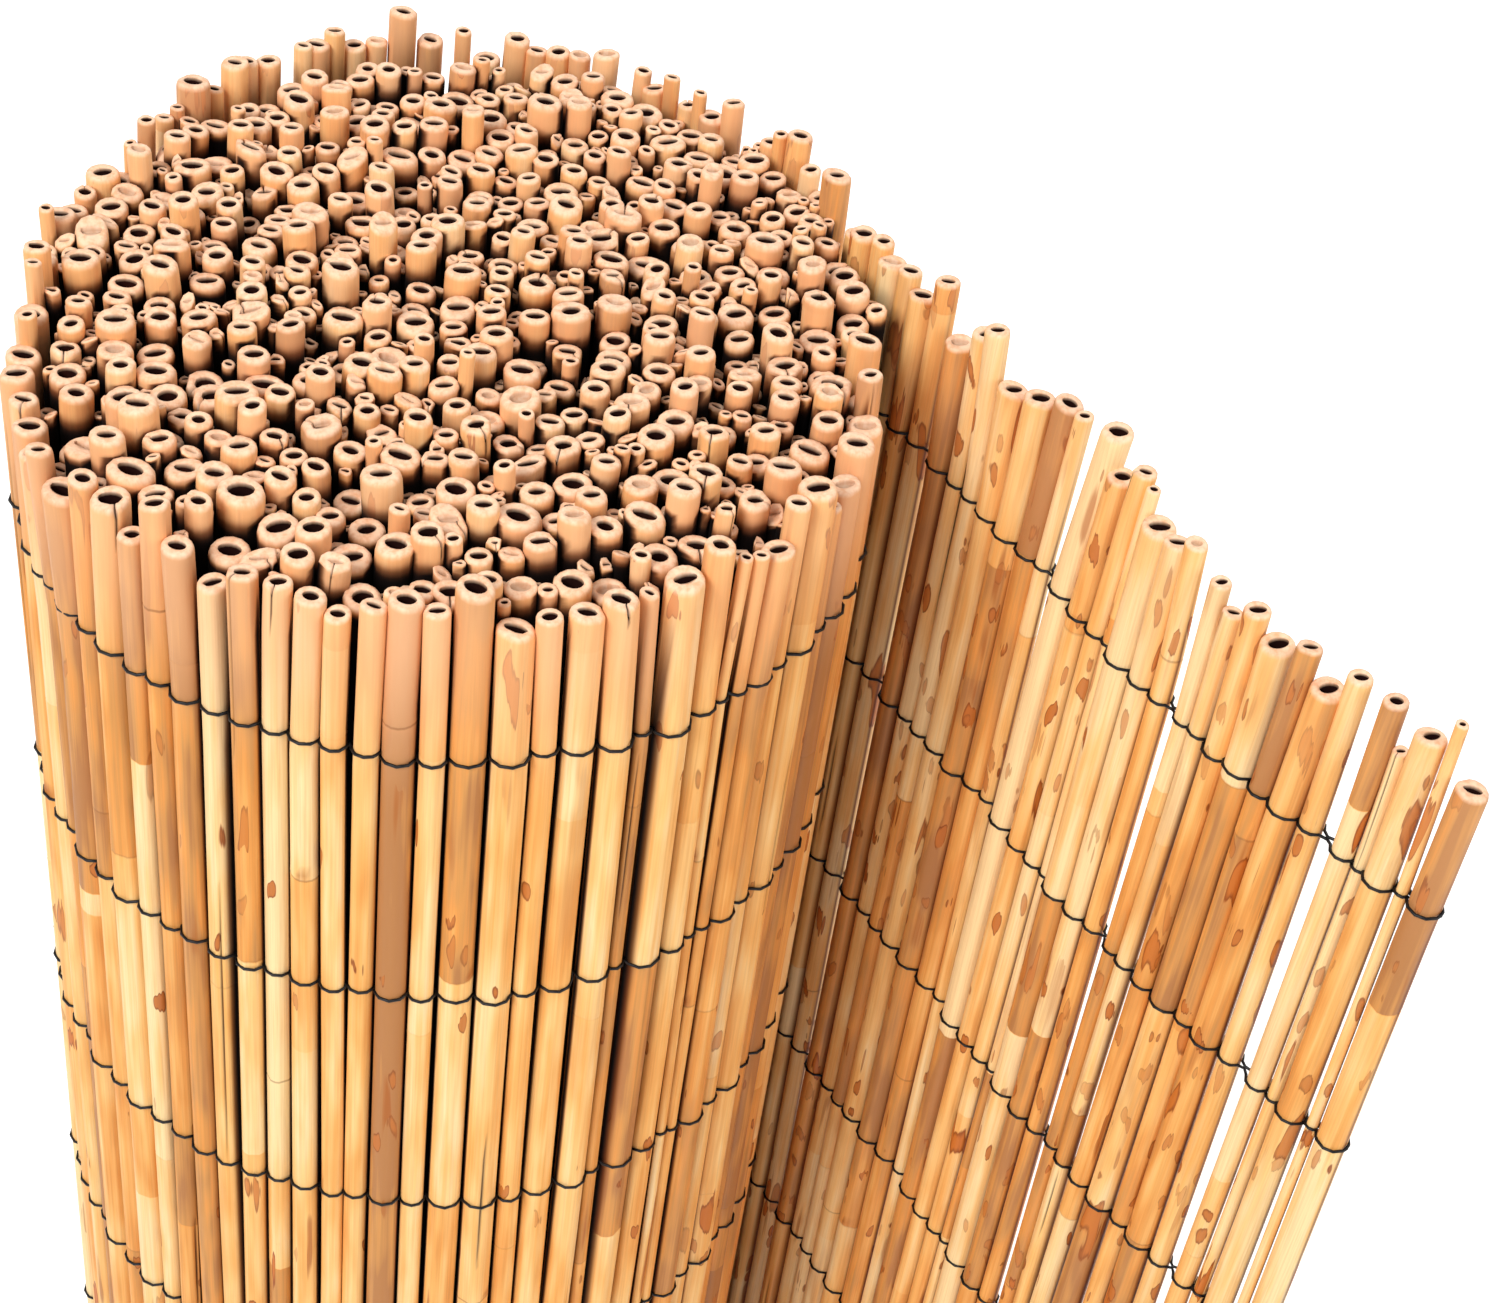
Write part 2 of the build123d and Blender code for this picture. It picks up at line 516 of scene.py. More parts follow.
# How a stem's mesh is made
stem = {
    "outerSides": 16,
    "innerSides": 14,
    "scrapSides": 10,
    "station": 0.055,          # distance between plain rings
    "bodyEnds": (0.5, 0.6),    # where the plain rings end below and above, in radii
    "closest": 0.0002,         # distance between two rings
    "nodeReach": 0.0022,
    "nodeLine": 0.00022,
    "lineWidth": 1.5,          # of a node's line, in the same measure
    "lineFade": 0.0006,
    "nodeBulge": 0.02,
    "lineGroove": 0.02,
    "budReach": (-0.0008, 0.0006, 0.0022, 0.0065),   # a leaf's spot along the stem from its node
    "budShade": (0.0, 0.7, 1.0, 0.0),
    "paintedShadeStart": 0.0,         # how far below the ends around it the painted shade of a packed stem sets in
    "paintedShadeEnd": 0.010,
    "paintedShadeRings": (0.0, 0.25, 0.5, 0.75, 1.0),
    "paintedShadeOwn": 0.004,         # how far below each stem's own top stays free of painted shade
    "middle": 0.5,             # height of the one plain ring of a packed stem
    "contact": (0.0003, 0.0028),     # a neighbour this near paints shade on a stem's side
    "contactCover": (-0.0005, 0.0015),   # how far its end has to stand above a place
    "contactOwn": (0.0002, 0.0012),  # and its own end
    "insidePaintedShade": (0.008, 0.035),   # how far down the inner side of the outermost turn the painted shade grows
    "insideFacing": (-0.1, -0.8),
    # painted shade in the crevices beside a whole stem's neighbours
    "creviceFrom": 0.17,
    "creviceClear": 0.02,
    "flapLight": 0.45,         # how much weaker the painted shade in the crevices of the flap is
    "cutLight": 0.9,           # and the cut ends
    "splitDepth": 0.24,
    "splitCurve": 0.6,
    "splitRings": (0.0, 0.2, 0.5, 0.8, 1.0),
    "splitAngle": 7.0,         # how near the corners beside a split are to it, in degrees
    "splitSide": 21.4,         # and the next ones
    "crackRings": (0.4, 1.0),
    "crackOpens": 0.6,
    # how fast the painted shade of a crack's opening grows
    "crackShade": 2.5,
    "crackDrop": (0.5, 0.6, 0.6, 0.5, 0.3),   # of the cut's rings at a crack, in radii
    "plugDepth": 0.3,          # of a hole that is filled, in radii
    # how much of the painted shade in the hole a filled hole keeps
    "plugShade": 0.35,
    "tiltReach": (2.5, 0.4),   # between these depths the slant of the cut sets in, in radii
    "lensShape": (0.72, 0.28),
    "stained": (0.28, 0.72),   # how stained the roll is, and how much more so the flap
    "seam": 0.05,              # how far below its top a packed stem's texture has a seam
    "groupSize": 6,
    "innerGroups": 6,
}

# The rings of a cut end, from the stem's side to the bottom of its hole, as
# (depth in radii, width, share of the hole's outline, how cut, how deep in the hole, which sets
# how dark its painted shade is)
endRings = (
    (0.34, 1.000, 0.0, 0.0, 0.0),
    (0.17, 0.975, 0.0, 0.5, 0.0),
    (0.05, 0.890, 0.0, 1.0, 0.0),
    (0.00, 0.750, 0.0, 1.0, 0.0),
    (0.02, 0.750, 0.6, 1.0, 0.0),
    (0.08, 1.000, 1.0, 1.0, 0.65),
    (0.22, 0.930, 1.0, 1.0, 1.0),
    (2.20, 0.750, 1.0, 1.0, 1.0),
)
footRings = (
    (0.12, 0.97, 0.0, 0.6, 0.0),
    (0.00, 0.80, 0.0, 1.0, 0.0),
    (0.10, 1.00, 1.0, 1.0, 0.4),
    (1.60, 0.80, 1.0, 1.0, 1.0),
)


def smoothStep(low, high, value):
    share = np.clip((value - low) / (high - low), 0, 1)
    return share * share * (3 - 2 * share)


def stemHeights(reed):
    # The heights of the rings between the two ends, with pairs where the tone jumps
    lowest = reed.foot + stem["bodyEnds"][0] * reed.radius
    highest = reed.top - stem["bodyEnds"][1] * reed.radius
    heights = [lowest, highest]
    if reed.outer:
        count = round((highest - lowest) / stem["station"])
        heights += [lowest + (highest - lowest) * step / count for step in range(1, count)]
        for node, mark, bud in reed.nodes:
            reaches = (stem["nodeLine"], stem["lineFade"], stem["nodeReach"])
            heights += [node + side * reach for side in (-1, 1) for reach in reaches]
            if bud is not None:
                heights.append(node + stem["budReach"][-1])
        for height, tone in reed.tones[1:]:
            heights += [height - stem["nodeLine"], height + stem["nodeLine"]]
        if reed.split:
            low, high = reed.split
            heights += [low * (1 - share) + high * share for share in stem["splitRings"]]
    else:
        # rings where the painted shade sets in below the ends around
        heights += [reed.topsAround - stem["paintedShadeEnd"] * share for share in stem["paintedShadeRings"]]
        heights += [reed.top - stem["paintedShadeOwn"], stem["middle"]]
    if reed.cracked:
        heights += [highest - reed.crackDepth * share for share in stem["crackRings"]]
    heights = sorted(height for height in heights if lowest <= height <= highest)
    kept = [heights[0]]
    for height in heights[1:]:
        if height - kept[-1] > stem["closest"]:
            kept.append(height)
    return kept


def toneAt(reed, height):
    return [tone for start, tone in reed.tones if start <= height][-1]


def stemAxis(reed, height):
    # A stem's middle at these heights: it bows a little, leans above the last wire, and some
    # stems spread apart
    room = mat["reedLength"] - wireHeights[-1]
    leaning = np.clip((height - wireHeights[-1]) / room, 0, reedLook["leanLimit"])
    leaning = leaning ** reedLook["leanCurve"]
    along = math.pi * (height - wires["fromEnd"]) / wirePitch
    middle = []
    for axis, start in enumerate((reed.x, reed.y)):
        phase = reedLook["bowPhase"] * reed.bow[axis + 2] / reedLook["bow"]
        wave = np.sin(along * reedLook["bowRate"][axis] + phase)
        middle.append(start + reed.lean[axis] * leaning + reed.bow[axis] * wave)
    aside = reed.fan * spread["footFan"] * (1 - height / mat["reedLength"])
    for shift, lowest in reed.spreads:
        share = (height - lowest) / (mat["reedLength"] - lowest)
        aside = aside + shift * np.clip(share, 0, spread["beyond"])
    return middle[0] + aside * math.sin(reed.outward), middle[1] - aside * math.cos(reed.outward)


def contactPaintedShade(reed, angle, height):
    # Painted shade on a packed stem's side from the neighbours that stand close to it
    faceX = reed.x + reed.radius * np.cos(angle)
    faceY = reed.y + reed.radius * np.sin(angle)
    paintedShade = np.zeros((len(height), len(angle)))
    for other in reed.neighbours:
        room = np.hypot(faceX - other.x, faceY - other.y) - other.radius
        close = 1 - smoothStep(*stem["contact"], room)
        covered = smoothStep(*stem["contactCover"], other.top - height)
        paintedShade = np.maximum(paintedShade, covered[:, None] * close[None, :])
    return paintedShade * smoothStep(*stem["contactOwn"], reed.top - height)[:, None]


def stemPaintedShade(reed, around, height):
    # The painted shade on a stem: on the outer ones in the crevices beside their neighbours and on
    # the side inside the roll, on the imported ones below the ends around them
    below = reed.top - height
    if reed.outer:
        faceOut = np.cos(around)
        # painted shade in the crevices beside the neighbours, weaker on the flap
        crevice = 1 - smoothStep(0.0, stem["creviceFrom"], np.abs(faceOut))
        paintedShade = crevice[None, :] * smoothStep(0.0, stem["creviceClear"], below)[:, None]
        paintedShade *= 1 - stem["flapLight"] * reed.flap
        # painted shade on the side that faces into the roll, darker further down
        depth = smoothStep(*stem["insidePaintedShade"], mat["reedLength"] - height)
        inward = smoothStep(*stem["insideFacing"], faceOut)[None, :] * (1 - reed.flap)
        return np.maximum(paintedShade, inward * depth[:, None])
    # painted shade below the ends around a packed stem
    depth = smoothStep(stem["paintedShadeStart"], stem["paintedShadeEnd"], reed.topsAround - height)
    depth *= smoothStep(0.0, stem["paintedShadeOwn"], below)
    return np.maximum(depth[:, None], contactPaintedShade(reed, reed.outward + around, height))


def stemRings(reed):
    # The rings run from the bottom of the lower hole to the bottom of the upper one
    rings = []
    for depth, width, hole, cut, deep in reversed(footRings):
        rings.append((reed.foot + depth * reed.radius, width, hole, cut, deep))
    footCount = len(rings)
    for height in stemHeights(reed):
        rings.append((height, 1.0, 0.0, 0.0, 0.0))
    bodyEnd = len(rings)
    for depth, width, hole, cut, deep in endRings:
        if reed.plugged:
            depth = min(depth, stem["plugDepth"])
            deep *= stem["plugShade"]
        rings.append((reed.top - depth * reed.radius, width, hole, cut, deep))
    return [np.array(values) for values in zip(*rings)], footCount, bodyEnd


def stemAngles(reed, sides):
    # The angles of a ring's corners, and the corner at a split, where the next ones draw near
    around = np.arange(sides) * 2 * math.pi / sides
    nearest = round(reed.splitTurn / (2 * math.pi / sides)) % sides
    if reed.split or reed.cracked:
        for step, away in ((1, stem["splitAngle"]), (2, stem["splitSide"])):
            for side in (-1, 1):
                corner = (nearest + side * step) % sides
                around[corner] = around[nearest] + side * math.radians(away)
    return around, nearest


def stemNodes(reed, height, sides):
    # How far the nodes swell each ring, how dark their lines are, and where leaves stood
    bulge = np.ones(len(height))
    line = np.zeros(len(height))
    budMask = np.zeros((len(height), sides))
    for node, mark, bud in reed.nodes:
        if bud is not None:
            column = int(bud * sides)
            share = np.interp(height, node + np.array(stem["budReach"]), stem["budShade"])
            budMask[:, column] = share
            budMask[:, (column + 1) % sides] = 0.5 * share
        away = np.abs(height - node)
        swell = stem["nodeBulge"] * np.exp(-((away / stem["nodeReach"]) ** 2))
        groove = (away < stem["nodeLine"] * stem["lineWidth"]) * 1.0
        bulge += swell - stem["lineGroove"] * groove
        line = np.maximum(line, groove * mark)
    return bulge, line, budMask


def holeOutline(reed, angle):
    turn = angle - reed.holeTurn
    blunt, pointed = stem["lensShape"]
    lensX = reed.radius * reed.holeLength * np.cos(turn)
    lensY = reed.radius * reed.holeWidth * np.sin(turn)
    lensY = lensY * (blunt + pointed * np.abs(np.sin(turn)))
    across, along = math.cos(reed.holeTurn), math.sin(reed.holeTurn)
    return lensX * across - lensY * along, lensX * along + lensY * across


def makeStem(reed):
    sides = stem["outerSides"] if reed.outer else stem["innerSides"]
    if reed.scrap:
        sides = stem["scrapSides"]
    (height, width, hole, cut, deep), footCount, bodyEnd = stemRings(reed)
    around, nearest = stemAngles(reed, sides)
    angle = reed.outward + around

    bulge, line, budMask = stemNodes(reed, height, sides)
    ovality = 1 + reed.oval * np.cos(2 * (angle - reed.ovalTurn))
    reach = reed.radius * (width * bulge)[:, None] * ovality[None, :]
    splitShadeMask = np.zeros((len(height), sides))
    if reed.split:
        low, high = reed.split
        share = np.clip((height - low) / (high - low), 0, 1)
        opened = np.sin(math.pi * share) ** stem["splitCurve"] * (share > 0) * (share < 1)
        reach[:, nearest] *= 1 - stem["splitDepth"] * opened
        # painted shade along the split's groove
        splitShadeMask[:, nearest] = opened
    holeX, holeY = holeOutline(reed, angle)
    share = hole[:, None]
    inner = share * width[:, None]
    x = reach * np.cos(angle)[None, :] * (1 - share) + inner * holeX[None, :]
    y = reach * np.sin(angle)[None, :] * (1 - share) + inner * holeY[None, :]
    z = np.repeat(height[:, None], sides, axis=1)

    deepest, shallowest = (reed.top - depth * reed.radius for depth in stem["tiltReach"])
    slanted = smoothStep(deepest, shallowest, height)
    slanted[:footCount] = 0
    z += slanted[:, None] * (x * reed.tilt[0] + y * reed.tilt[1])
    if reed.cracked:
        crackEnd = reed.top - reed.crackDepth - stem["crackOpens"] * reed.radius
        opened = smoothStep(crackEnd, reed.top, height)
        opened[:footCount] = 0
        # painted shade in the crack's opening
        shade = np.minimum(opened * stem["crackShade"], 1.0)
        splitShadeMask[:, nearest] = np.maximum(splitShadeMask[:, nearest], shade)
        drop = np.array(stem["crackDrop"])
        z[bodyEnd:bodyEnd + len(drop), nearest] -= reed.radius * drop

    axisX, axisY = stemAxis(reed, height)
    x += axisX[:, None]
    y += axisY[:, None]

    def alongStem(values):
        return np.repeat(values[:, None], sides, axis=1)

    def allOver(value):
        return np.full((len(height), sides), value)

    marks = {
        "tone": alongStem(np.array([toneAt(reed, value) for value in height])),
        "nodeLine": alongStem(line),
        "paintedSplitShade": splitShadeMask,
        "leafSpot": budMask,
        "paintedShade": stemPaintedShade(reed, around, height) * (1 - cut[:, None] * stem["cutLight"]),
        "belowTop": alongStem(reed.top - height),
        "cutEnd": alongStem(cut),
        "paintedHoleShade": alongStem(deep),
        "reedSeed": allOver(reed.seed),
        "stainedness": allOver(stem["stained"][0] + stem["stained"][1] * reed.flap),
    }
    return np.stack((x, y, z), axis=-1), marks, footCount, bodyEnd


def sideMap(rows, sides, box):
    # Texture places of the quads between rings of a stretch of a stem's side
    left, bottom, right, top = box
    share = (rows - rows[0]) / (rows[-1] - rows[0])
    u = left + (right - left) * np.arange(sides + 1) / sides
    v = bottom + (top - bottom) * share
    return np.repeat(u[None, :], len(rows), axis=0), np.repeat(v[:, None], sides + 1, axis=1)


def discMap(count, sides, disc, outwards):
    # The same for an end, whose rings lie inside each other on a disc
    centreU, centreV, size = disc
    reach = size * np.linspace(1.0, 0.12, count)
    if outwards:
        reach = reach[::-1]
    turn = np.arange(sides + 1) * 2 * math.pi / sides
    return centreU + reach[:, None] * np.cos(turn), centreV + reach[:, None] * np.sin(turn)


def quadMap(u, v):
    # Corner places for each quad, row by row
    corners = [(0, 0), (0, 1), (1, 1), (1, 0)]
    parts = []
    for up, along in corners:
        rows = slice(up, u.shape[0] - 1 + up)
        columns = slice(along, u.shape[1] - 1 + along)
        parts.append(np.stack((u[rows, columns], v[rows, columns]), axis=-1))
    return np.stack(parts, axis=2).reshape(-1, 2)


# Where a stem lies on its piece's texture. A whole stem's margin is a share of its column, and
# a packed stem's places are shares of its cell, with strips as (left, bottom, right, top) and
# discs as (middle, middle, size).
outerPlaces = {
    "margin": 0.05,
    "strip": (0.005, 0.925),
    "discRow": 0.963,
    "discSize": 0.032,
}
innerPlaces = {
    "lower": (0.55, 0.03, 0.62, 0.97),
    "upper": (0.03, 0.03, 0.52, 0.97),
    "topDisc": (0.81, 0.78, 0.165),
    "footDisc": (0.81, 0.3, 0.1),
}


def outerCell(place, count):
    # A whole stem has two strips, one for each half of its length, and a disc above each
    width = 1.0 / (2 * count)
    margin = outerPlaces["margin"] * width
    low, high = outerPlaces["strip"]
    strips, discs = [], []
    for column in (2 * place, 2 * place + 1):
        left = column * width
        strips.append((left + margin, low, left + width - margin, high))
        discs.append(((column + 0.5) * width, outerPlaces["discRow"], outerPlaces["discSize"]))
    return strips[0], strips[1], discs[1], discs[0]


def innerCell(place, count):
    # Most of a packed stem's cell goes to its upper end
    rows = math.ceil(math.sqrt(count))
    size = 1.0 / rows
    left = (place % rows) * size
    bottom = (place // rows) * size
    found = []
    for x, y, *rest in (innerPlaces[key] for key in ("lower", "upper", "topDisc", "footDisc")):
        corner = (left + x * size, bottom + y * size)
        if len(rest) == 2:
            found.append(corner + (left + rest[0] * size, bottom + rest[1] * size))
        else:
            found.append(corner + (rest[0] * size,))
    return found


def addToScene(name, data):
    thing = bpy.data.objects.new(name, data)
    bpy.context.scene.collection.objects.link(thing)
    return thing


def makeReedPiece(name, group, cellOf):
    points, quads, caps, places, capPlaces = [], [], [], [], []
    marks = {}
    first = 0
    for place, reed in enumerate(group):
        grid, own, footCount, bodyEnd = makeStem(reed)
        rings, sides = grid.shape[:2]
        numbers = first + np.arange(rings * sides).reshape(rings, sides)
        nextOne = np.roll(numbers, -1, axis=1)
        corners = (numbers[:-1], nextOne[:-1], nextOne[1:], numbers[1:])
        quads.append(np.stack(corners, axis=-1).reshape(-1, 4))
        caps += [numbers[0][::-1], numbers[-1]]
        lower, upper, topDisc, footDisc = cellOf(place, len(group))
        heights = grid[:, :, 2].mean(axis=1)
        seam = heights.mean() if reed.outer else reed.top - stem["seam"]
        middle = footCount + int(np.argmin(np.abs(heights[footCount:bodyEnd] - seam)))
        middle = max(footCount, min(bodyEnd - 1, middle))
        footU, footV = discMap(footCount + 1, sides, footDisc, True)
        topU, topV = discMap(rings - bodyEnd + 1, sides, topDisc, False)
        places += [
            quadMap(footU, footV),
            quadMap(*sideMap(heights[footCount:middle + 1], sides, lower)),
            quadMap(*sideMap(heights[middle:bodyEnd], sides, upper)),
            quadMap(topU, topV),
        ]
        capPlaces.append(np.stack((footU[0][:-1], footV[0][:-1]), axis=-1)[::-1])
        capPlaces.append(np.stack((topU[-1][:-1], topV[-1][:-1]), axis=-1))
        points.append(grid.reshape(-1, 3))
        for key, values in own.items():
            marks.setdefault(key, []).append(values.reshape(-1))
        first += rings * sides
    faces = np.concatenate(quads).tolist() + [cap.tolist() for cap in caps]
    mesh = bpy.data.meshes.new(name)
    mesh.from_pydata(np.concatenate(points).tolist(), [], faces)
    mesh.shade_smooth()
    for key, values in marks.items():
        layer = mesh.attributes.new(key, "FLOAT", "POINT")
        layer.data.foreach_set("value", np.concatenate(values).astype(np.float32))
    layer = mesh.uv_layers.new(name="OFBake")
    flat = np.concatenate(places + capPlaces).astype(np.float32)
    layer.data.foreach_set("uv", flat.reshape(-1))
    mesh.update()
    return addToScene(name, mesh)


def addNode(tree, kind, **settings):
    node = tree.nodes.new(kind)
    for key, value in settings.items():
        if key in node.inputs:
            node.inputs[key].default_value = value
        else:
            setattr(node, key, value)
    return node


def attributeNode(tree, name):
    return addNode(tree, "ShaderNodeAttribute", attribute_name=name).outputs["Fac"]


def feed(tree, slot, value):
    # A number or colour is set on a socket, anything else is linked to it
    if isinstance(value, (int, float, tuple)):
        slot.default_value = value
    else:
        tree.links.new(value, slot)


def mathNode(tree, operation, *values):
    node = addNode(tree, "ShaderNodeMath", operation=operation)
    for slot, value in zip(node.inputs, values):
        feed(tree, slot, value)
    return node.outputs[0]


def rangeNode(tree, value, low, high, fromValue=0.0, toValue=1.0):
    node = addNode(tree, "ShaderNodeMapRange", interpolation_type="SMOOTHSTEP")
    for slot, number in zip(node.inputs, (value, low, high, fromValue, toValue)):
        feed(tree, slot, number)
    return node.outputs[0]


def mixNode(tree, share, first, second):
    node = addNode(tree, "ShaderNodeMix", data_type="RGBA")
    for slot, value in ((0, share), (6, first), (7, second)):
        feed(tree, node.inputs[slot], value)
    return node.outputs[2]


def vectorNode(tree, *values):
    node = tree.nodes.new("ShaderNodeCombineXYZ")
    for slot, value in zip(node.inputs, values):
        feed(tree, slot, value)
    return node.outputs[0]


def stretchedPlace(tree, scale, drift):
    # The place on the object, stretched and shifted for a pattern
    place = tree.nodes.new("ShaderNodeTexCoord")
    stretched = addNode(tree, "ShaderNodeVectorMath", operation="MULTIPLY_ADD")
    for slot, value in zip(stretched.inputs, (place.outputs["Object"], scale, drift)):
        feed(tree, slot, value)
    return stretched.outputs[0]


def colour(code):
    # A colour written as in a paint program, as linear light
    linear = []
    for place in (0, 2, 4):
        part = int(code[place:place + 2], 16) / 255
        linear.append(part / 12.92 if part <= 0.04045 else ((part + 0.055) / 1.055) ** 2.4)
    return tuple(linear) + (1.0,)


def rampNode(tree, value, stops):
    node = tree.nodes.new("ShaderNodeValToRGB")
    ramp = node.color_ramp
    while len(ramp.elements) < len(stops):
        ramp.elements.new(0.5)
    for element, (place, code) in zip(ramp.elements, stops):
        element.position = place
        element.color = colour(code)
    tree.links.new(value, node.inputs[0])
    return node.outputs[0]


# The grain that the reeds and the wire share: noise drawn out along Z, other on each seed
grainLook = {
    "across": 300.0,
    "along": 10.0,
    "seedDrift": (91.0, 57.0),
    "detail": 2.0,
    "roughness": 0.6,
}


def makeGrainGroup():
    tree = bpy.data.node_groups.new("drawnOutGrain", "ShaderNodeTree")
    usual = {"Across": grainLook["across"], "Along": grainLook["along"], "Seed": 0.0}
    for name, value in usual.items():
        socket = tree.interface.new_socket(name, in_out="INPUT", socket_type="NodeSocketFloat")
        socket.default_value = value
    tree.interface.new_socket("Grain", in_out="OUTPUT", socket_type="NodeSocketFloat")
    start = tree.nodes.new("NodeGroupInput")
    end = tree.nodes.new("NodeGroupOutput")
    across, along, seed = (start.outputs[name] for name in usual)
    sideways, upwards = (mathNode(tree, "MULTIPLY", seed, by) for by in grainLook["seedDrift"])
    scale = vectorNode(tree, across, across, along)
    place = stretchedPlace(tree, scale, vectorNode(tree, sideways, 0.0, upwards))
    pattern = addNode(
        tree, "ShaderNodeTexNoise", noise_dimensions="3D",
        Scale=1.0, Detail=grainLook["detail"], Roughness=grainLook["roughness"],
    )
    tree.links.new(place, pattern.inputs["Vector"])
    tree.links.new(pattern.outputs[0], end.inputs["Grain"])
    return tree


grainGroup = makeGrainGroup()


def grain(tree, across, along, seed):
    node = addNode(tree, "ShaderNodeGroup", node_tree=grainGroup)
    for name, value in (("Across", across), ("Along", along), ("Seed", seed)):
        feed(tree, node.inputs[name], value)
    return node.outputs[0]


reedFinish = {
    "tones": (
        (0.00, "FFDFA6"), (0.25, "FDCB83"), (0.48, "F6B566"), (0.68, "E89C4E"),
        (0.84, "D29452"), (1.00, "B67C4A"),
    ),
    "clouds": (95.0, 16.0),    # grain across and along the stem
    "streaks": (520.0, 9.0),
    "fibres": (1900.0, 26.0),
    "cloudTone": (0.3, 0.72, -0.17, 0.25),   # a range of the grain and what it adds to the tone
    "streakTone": (0.25, 0.75, -0.10, 0.13),
    "fibre": "B87B45",
    "fibreShare": (0.35, 0.75, 0.0, 0.22),
    "leafSpot": "A85A26",
    "leafShare": (0.25, 0.6, 0.3, 0.9),
    "topTint": "F6BB8C",
    "tintReach": (0.075, 0.004, 0.0, 0.75),
    "tintBySeed": (0.0, 1.0, 0.6, 1.1),
    "tintUnstained": 1.2,
    "cutEnd": "FFDABB",
    "cutRing": "EDB48C",
    "ringShare": (0.3, 0.8),
    "cutShare": 0.85,
    # the painted shade inside the holes
    "hole": "1E0502",
    "line": "8A5530",
    # the painted shade in splits and cracks
    "split": "2A1208",
    "paintedHalfShade": "6E2A0C",          # the colour half way into the painted shade
    "paintedHalfShadeShare": (0.0, 0.6, 0.0, 0.8),
    # the full painted shade
    "paintedShade": "080100",
    "paintedShadeShare": (0.25, 0.95),
    "roughness": (0.2, 0.8, 0.38, 0.60),
    "specular": 0.16,
    "bump": 0.25,
    "bumpHeight": 0.0004,
    "fibreHeight": 0.5,        # set against the streaks
}

# Four kinds of stains, the first two soft, the others with a rim that the streaks make ragged
stains = {
    "bySeed": (53.0, 29.0),
    "cloudDrift": 2.4,
    "ragged": (0.2, 0.8, -0.10, 0.10),
    "rim": (0.26, 0.36),
    "kinds": {
        "clouds": {
            "scale": (70.0, 70.0, 13.0), "share": 0.26, "least": 0.05, "edge": (0.46, 0.10),
            "depth": (0.2, 0.65), "light": "C98A50", "dark": "C98A50",
        },
        "runs": {
            "scale": (260.0, 260.0, 20.0), "share": 0.03, "least": 0.045, "edge": (0.42, 0.18),
            "depth": (0.3, 0.9), "light": "AC6028", "dark": "AC6028",
        },
        "patches": {
            "scale": (105.0, 105.0, 34.0), "share": 0.16, "least": 0.0, "edge": (0.38, 0.33),
            "depth": (0.45, 1.0), "light": "C8702A", "dark": "82390E",
        },
        "spots": {
            "scale": (200.0, 200.0, 78.0), "share": 0.22, "least": 0.0, "edge": (0.38, 0.33),
            "depth": (0.45, 1.0), "light": "C27030", "dark": "78340E",
        },
    },
}


def addStains(tree, skin, seed, clouds, streaks, kind):
    # Stains as long as their scale makes them, those with a sharp edge dark along it
    bySeed = stains["bySeed"]
    drift = vectorNode(
        tree,
        mathNode(tree, "MULTIPLY_ADD", seed, bySeed[0], streaks),
        mathNode(tree, "MULTIPLY_ADD", seed, bySeed[1], clouds),
        mathNode(tree, "MULTIPLY", clouds, stains["cloudDrift"]),
    )
    cells = addNode(tree, "ShaderNodeTexVoronoi", Scale=1.0, Randomness=1.0)
    tree.links.new(stretchedPlace(tree, kind["scale"], drift), cells.inputs["Vector"])
    picked = tree.nodes.new("ShaderNodeSeparateColor")
    tree.links.new(cells.outputs["Color"], picked.inputs[0])
    stained = attributeNode(tree, "stainedness")
    share = mathNode(tree, "MULTIPLY_ADD", stained, kind["share"], kind["least"])
    chosen = mathNode(tree, "LESS_THAN", picked.outputs[0], share)
    wobble = rangeNode(tree, streaks, *stains["ragged"])
    ragged = mathNode(tree, "ADD", cells.outputs["Distance"], wobble)
    inside = mathNode(tree, "MULTIPLY", rangeNode(tree, ragged, *kind["edge"]), chosen)
    edge = mathNode(tree, "MULTIPLY", rangeNode(tree, ragged, *stains["rim"]), inside)
    stain = mixNode(tree, edge, colour(kind["light"]), colour(kind["dark"]))
    depth = rangeNode(tree, picked.outputs[1], 0.0, 1.0, *kind["depth"])
    return mixNode(tree, mathNode(tree, "MULTIPLY", inside, depth), skin, stain)


def newMaterial(name):
    material = bpy.data.materials.new(name)
    material.use_nodes = True
    return material, material.node_tree, material.node_tree.nodes["Principled BSDF"]


def addBump(tree, shader, height, strength, distance):
    bump = addNode(tree, "ShaderNodeBump", Strength=strength, Distance=distance)
    tree.links.new(height, bump.inputs["Height"])
    tree.links.new(bump.outputs[0], shader.inputs["Normal"])


